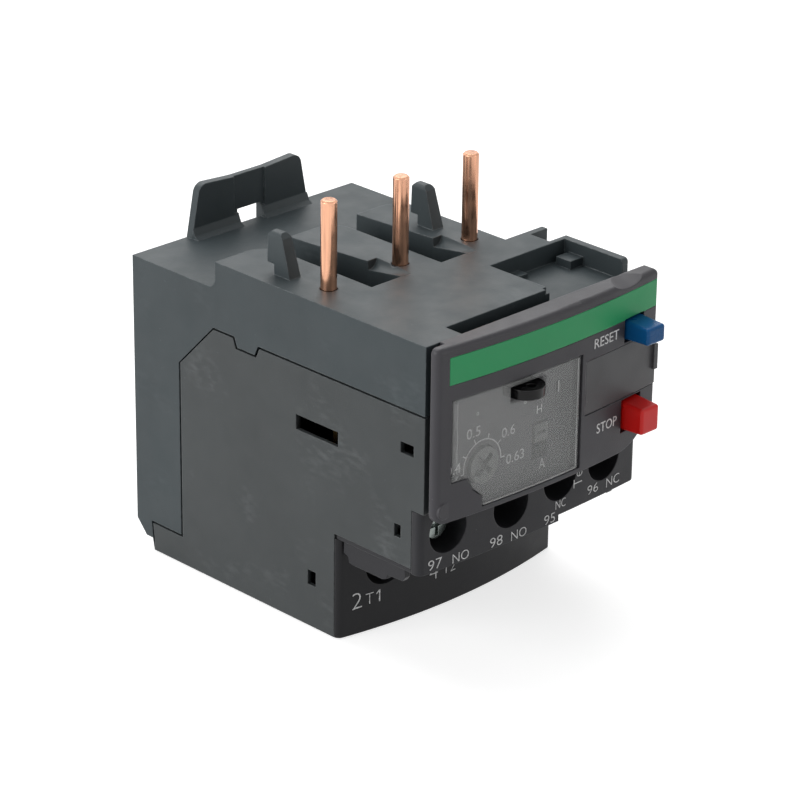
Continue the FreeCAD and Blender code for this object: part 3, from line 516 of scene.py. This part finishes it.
def inkWord(name, text, x, z, height, surface, turn, narrow, thin):
    # letters turned in their plane, then each point moved back to the face: y = face(x) - proud - z
    mesh = evaluatedText(name, text, height, thin)
    co = np.empty(len(mesh.vertices) * 3)
    mesh.vertices.foreach_get("co", co)
    co = co.reshape(-1, 3)
    flat = co[:, :2] - (co[:, :2].min(0) + co[:, :2].max(0)) / 2
    flat[:, 0] *= narrow
    c, s = math.cos(math.radians(turn)), math.sin(math.radians(turn))
    across = x + flat[:, 0] * c - flat[:, 1] * s
    up = z + flat[:, 0] * s + flat[:, 1] * c
    front = surfaces[surface](across) - inkSetup["thick"] * inkSetup["proud"] - co[:, 2]
    mesh.vertices.foreach_set("co", np.column_stack((across, front, up)).ravel())
    closeShell(mesh, inkSetup["weld"])
    mesh.materials.clear()
    mesh.materials.append(finishes["paleInk"])
    word = bpy.data.objects.new(name, mesh)
    scene.collection.objects.link(word)
    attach(word, "base")


words = {
    # text, x mm, z mm, letter height mm, face, turn, width against height, thinning
    "wordReset": ("RESET", 10.61, 44.2, 1.5, "cover", 0, 1.0, 0.0),
    "wordStop": ("STOP", 11.28, 30.6, 1.5, "cover", 0, 0.91, 0.0),
    "word97": ("97", -19.57, 17.24, 1.65, "aux", 0, 1.18, 0.02),
    "word97No": ("NO", -14.7, 16.96, 1.5, "aux", 0, 1.0, 0.02),
    "word98": ("98", -7.75, 17.05, 1.6, "aux", 0, 1.2, 0.02),
    "word98No": ("NO", -3.17, 16.82, 1.5, "aux", 0, 1.0, 0.02),
    "word95": ("95", 3.28, 17.01, 1.55, "aux", 0, 1.18, 0.02),
    "word95Nc": ("NC", 5.57, 18.73, 1.4, "aux", 0, 0.8, 0.02),
    "word96": ("96", 12.69, 18.73, 1.5, "aux", 0, 1.25, 0.02),
    "word96Nc": ("NC", 17.29, 18.57, 1.5, "aux", 0, 1.04, 0.02),
    "wordTest": ("Test", 9.24, 22.4, 1.95, "aux", 90, 0.9, 0.025),
    "wordT1Number": ("2", -19.25, 5.35, 2.7, "power", 0, 1.07, 0.03),
    "wordT1": ("T", -17.1, 5.15, 1.9, "power", 0, 0.92, 0.03),
    "wordT2Number": ("4", -5.2, 5.9, 2.7, "power", 0, 1.0, 0.03),
    "wordT2": ("T2", -2.1, 5.7, 1.9, "power", 0, 0.92, 0.03),
    "wordT3Number": ("6", 7.6, 6.7, 2.7, "power", 0, 1.0, 0.03),
    "wordT3": ("T3", 10.6, 6.45, 1.9, "power", 0, 0.92, 0.03),
    "dialFirst": ("0.4", -17.9, 31.9, 1.5, "pocket", 0, 1.1, 0.005),
    "dialSecond": ("0.5", -14.05, 36.4, 1.55, "pocket", 0, 1.1, 0.005),
    "dialThird": ("0.6", -6.98, 34.5, 1.5, "pocket", 0, 1.1, 0.005),
    "dialFourth": ("0.63", -5.48, 30.1, 1.5, "pocket", 0, 1.05, 0.005),
    "modeHand": ("H", -0.7, 36.0, 1.3, "pocket", 0, 1.0, 0.005),
    "modeAuto": ("A", 0.15, 27.25, 1.65, "pocket", 0, 0.8, 0.005),
    # a pale upright bar beside the indicator window, laid as the letter I
    "paleBarBesideWindow": ("I", 3.2, 38.4, 1.8, "pocket", 0, 0.9, 0.005),
    "markRing": ("o", -13.3, 39.1, 0.85, "pocket", 0, 1.0, 0.02),
    "markSmall": ("o", -3.65, 37.9, 0.75, "pocket", 0, 1.0, 0.02),
}
for wordName, (text, xMm, zMm, tall, face, turn, narrow, thin) in words.items():
    inkWord(wordName, text, xMm / 1000, zMm / 1000, tall / 1000, face, turn, narrow, thin)
print("words laid on:", len(words))


def addPiece(name, points, faces, finish, body="base", smooth=False):
    mesh = bpy.data.meshes.new(name)
    mesh.from_pydata(points.tolist(), [], faces)
    closeShell(mesh)
    mesh.polygons.foreach_set("use_smooth", np.full(len(mesh.polygons), smooth))
    mesh.materials.append(finishes[finish])
    piece = bpy.data.objects.new(name, mesh)
    scene.collection.objects.link(piece)
    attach(piece, body)
    return piece


plateSetup = {"proud": 0.00003, "deep": 0.00001}


def onFace(outline, surface, depth):
    # x and z in mm become points that stand depth metres behind the face
    flat = np.asarray(outline, dtype=float) / 1000
    return np.column_stack((flat[:, 0], surfaces[surface](flat[:, 0]) + depth, flat[:, 1]))


def facePlate(outline, surface):
    # a closed plate: the outline once behind the face and once in front of it, and a wall between
    count = len(outline)
    points = np.concatenate([onFace(outline, surface, plateSetup["deep"]),
                             onFace(outline, surface, -plateSetup["proud"])])
    row = np.arange(count)
    walls = np.column_stack((row, (row + 1) % count, (row + 1) % count + count, row + count)).tolist()
    return points, [list(range(count)), list(range(count, 2 * count))] + walls


def faceRibbon(firstEdge, secondEdge, surface):
    # a closed band between two edges of equal length: four rails, a wall between each two, two ends
    deep, proud = plateSetup["deep"], -plateSetup["proud"]
    rails = ((firstEdge, deep), (firstEdge, proud), (secondEdge, proud), (secondEdge, deep))
    points = np.concatenate([onFace(edge, surface, depth) for edge, depth in rails])
    n = len(firstEdge)
    row = np.arange(n - 1)
    starts = np.arange(4) * n
    walls = [np.column_stack((row + a, row + 1 + a, row + 1 + b, row + b))
             for a, b in zip(starts, np.roll(starts, -1))]
    return points, np.concatenate(walls).tolist() + [starts.tolist(), (starts[::-1] + n - 1).tolist()]


figureOne = {
    # the 1 of T1, in mm: the letters' own 1 has no flag
    "stem": -15.35,
    "low": 4.2,
    "high": 6.1,
    "line": 0.2,
    "flag": 0.55,             # how far the flag reaches to the left
    "drop": 0.5,              # and down
    "flagHalf": 0.1,
    "neck": 0.25,
}


def oneOutline():
    # a stem with a flag that runs down to the left from its top
    left, right = figureOne["stem"] - figureOne["line"] / 2, figureOne["stem"] + figureOne["line"] / 2
    low, high = figureOne["low"], figureOne["high"]
    tipX, tipZ = figureOne["stem"] - figureOne["flag"], high - figureOne["drop"]
    return [(left, low), (right, low), (right, high), (left, high), (tipX, tipZ + figureOne["flagHalf"]),
            (tipX, tipZ - figureOne["flagHalf"]), (left, high - figureOne["neck"])]


addPiece("wordT1One", *facePlate(oneOutline(), "power"), "paleInk")

flapHighlight = {
    # painted highlight lines along the right and bottom edges of the clear flap, in mm
    "right": 4.55,
    "left": -13.9,
    "low": 25.95,
    "high": 43.1,
    "wide": 0.22,
    "sideSteps": 2,
    "footSteps": 24,
}


def highlightStrip(x0, x1, z0, z1, steps):
    # level edges at z0 and z1, cut into steps so that the strip follows the bow
    x = np.linspace(x0, x1, steps + 1)
    low, high = (np.column_stack((x, np.full_like(x, z))) for z in (z0, z1))
    return faceRibbon(low, high, "cover")


sideX, footZ = flapHighlight["right"] - flapHighlight["wide"], flapHighlight["low"] + flapHighlight["wide"]
sideHighlight = highlightStrip(sideX, flapHighlight["right"], footZ, flapHighlight["high"], flapHighlight["sideSteps"])
footHighlight = highlightStrip(flapHighlight["left"], flapHighlight["right"], flapHighlight["low"], footZ, flapHighlight["footSteps"])
# pale strips on the flap's front: a painted highlight along its right and bottom edges
addPiece("flapHighlightSide", *sideHighlight, "flapEdgeClear", "flap")
addPiece("flapHighlightFoot", *footHighlight, "flapEdgeClear", "flap")

dialScale = {
    # mm and degrees
    "x": -12.2,
    "z": 31.0,
    "radius": 3.75,
    "line": 0.17,
    "from": 187.0,
    "to": -2.0,
    "steps": 60,
    "ticks": 6,
    "tick": 0.8,
}


def aroundDial(angle, radius):
    x, z = dialScale["x"] + radius * np.cos(angle), dialScale["z"] + radius * np.sin(angle)
    return np.column_stack((x, z))


def scaleArc():
    # two concentric arcs, half a line width inside and outside the scale's radius
    angle = np.radians(np.linspace(dialScale["from"], dialScale["to"], dialScale["steps"]))
    half = dialScale["line"] / 2
    inner, outer = (aroundDial(angle, dialScale["radius"] + side) for side in (-half, half))
    return faceRibbon(inner, outer, "pocket")


def scaleTick(degrees):
    # a bar along the radius, one line wide
    angle = math.radians(degrees)
    along = np.array([math.cos(angle), math.sin(angle)])
    across = np.array([-along[1], along[0]]) * dialScale["line"] / 2
    inner, outer = along * dialScale["radius"], along * (dialScale["radius"] + dialScale["tick"])
    corners = np.array([inner - across, outer - across, outer + across, inner + across])
    return facePlate(corners + (dialScale["x"], dialScale["z"]), "pocket")


addPiece("dialScaleArc", *scaleArc(), "paleInk")
tickAngles = np.linspace(dialScale["from"], dialScale["to"], dialScale["ticks"])
for tickIndex, tickAngle in enumerate(tickAngles.tolist()):
    addPiece("dialTick%d" % tickIndex, *scaleTick(tickAngle), "paleInk")
print("dial scale drawn, ticks:", len(tickAngles))

# button springs, wound as coils of round wire in place of the CAD springs

springCoils = {
    # CAD node it stands for: joint that presses it, travel and wire radius in mm, turns
    "reset_spring": ("reset_push", 2.5, 0.2, 4.0),
    "stop_spring": ("stop_push", 2.0, 0.2, 4.0),
}
coilSetup = {"stepsPerTurn": 20, "wireSides": 8, "closedEnds": 0.55}


def coilTube(node, wire, turns):
    # round wire along a helix on Y: angle 2 pi turns u, and a pitch that closes up at both ends
    low, high = np.array(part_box(node)[0]), np.array(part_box(node)[1])
    middle = (low + high) / 2
    mean = (high[0] - low[0]) / 2 - wire
    u = np.linspace(0, 1, int(turns * coilSetup["stepsPerTurn"]) + 1)[:, None]
    ring = np.linspace(0, 2 * np.pi, coilSetup["wireSides"] + 1)[:-1][None, :]
    turn = 2 * np.pi * turns * u
    climb = u - coilSetup["closedEnds"] * np.sin(2 * np.pi * u) / (2 * np.pi)
    rise = low[1] + wire + (high[1] - low[1] - 2 * wire) * climb
    out = mean + wire * np.cos(ring)
    grid = np.stack((middle[0] + out * np.cos(turn), rise + wire * np.sin(ring) + 0 * turn,
                     middle[2] + out * np.sin(turn)), axis=-1)
    rows, cols = grid.shape[:2]
    start = np.arange(rows - 1)[:, None] * cols
    a = (start + np.arange(cols)).ravel()
    b = (start + (np.arange(cols) + 1) % cols).ravel()
    sides = np.column_stack((a, b, b + cols, a + cols)).tolist()
    ends = [list(range(cols)), list(range((rows - 1) * cols, rows * cols))]
    return grid.reshape(-1, 3), sides + ends


for node, (joint, travel, wire, turns) in springCoils.items():
    coil = addPiece(node + "Coil", *coilTube(node, wire / 1000, turns), "springWire", smooth=True)
    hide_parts(node)
    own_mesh(coil)
print("springs wound:", len(springCoils))
